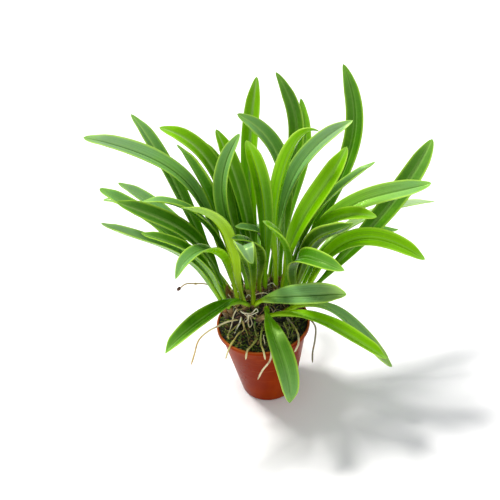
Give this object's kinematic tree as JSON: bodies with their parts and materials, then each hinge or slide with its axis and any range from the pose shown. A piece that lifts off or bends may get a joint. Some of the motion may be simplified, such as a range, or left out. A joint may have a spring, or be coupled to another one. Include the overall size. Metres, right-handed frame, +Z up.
{
  "type": "potted orchid",
  "caption": "Tufted orchid with narrow strap-shaped leaves and hanging cream roots, growing in moss in a small tapered round plastic pot.",
  "frame": {"origin": "centre of the pot's flat underside", "axes": "+Z up along the pot's axis, +Y from the plant's front to its back, +X to the right seen from the front"},
  "size_m": [0.195, 0.1324, 0.176],
  "materials": {
    "terracotta_plastic": "satin moulded plastic, terracotta colour",
    "moss_and_bark": "damp dark moss over fine bark",
    "rhizome_and_sheaths": "dry brown fibre and papery sheaths",
    "leaf_green": "smooth waxy leaf, paler underneath",
    "dry_stalk": "dry straw",
    "aerial_root": "matt cream velamen"
  },
  "bodies": {
    "root": {"pot": "terracotta_plastic", "growing_medium": "moss_and_bark", "rhizome_mat": "rhizome_and_sheaths", "leaf_01": "leaf_green", "leaf_02": "leaf_green", "leaf_03": "leaf_green", "leaf_04": "leaf_green", "leaf_05": "leaf_green", "leaf_06": "leaf_green", "leaf_07": "leaf_green", "leaf_08": "leaf_green", "leaf_09": "leaf_green", "leaf_10": "leaf_green", "leaf_11": "leaf_green", "leaf_12": "leaf_green", "leaf_13": "leaf_green", "leaf_14": "leaf_green", "leaf_15": "leaf_green", "leaf_16": "leaf_green", "leaf_17": "leaf_green", "leaf_18": "leaf_green", "leaf_19": "leaf_green", "leaf_20": "leaf_green", "leaf_21": "leaf_green", "leaf_22": "leaf_green", "leaf_23": "leaf_green", "leaf_24": "leaf_green", "leaf_25": "leaf_green", "leaf_26": "leaf_green", "leaf_27": "leaf_green", "leaf_28": "leaf_green", "leaf_29": "leaf_green", "leaf_30": "leaf_green", "leaf_31": "leaf_green", "leaf_32": "leaf_green", "leaf_33": "leaf_green", "leaf_34": "leaf_green", "leaf_35": "leaf_green", "leaf_36": "leaf_green", "leaf_37": "leaf_green", "leaf_38": "leaf_green", "leaf_39": "leaf_green", "leaf_40": "leaf_green", "leaf_41": "leaf_green", "leaf_42": "leaf_green", "leaf_43": "leaf_green", "leaf_44": "leaf_green", "leaf_45": "leaf_green", "leaf_46": "leaf_green", "dry_flower_stalk": "dry_stalk", "root_1": "aerial_root", "root_2": "aerial_root", "root_3": "aerial_root", "root_4": "aerial_root", "root_5": "aerial_root", "root_6": "aerial_root", "root_7": "aerial_root", "root_8": "aerial_root"}
  },
  "joints": []
}
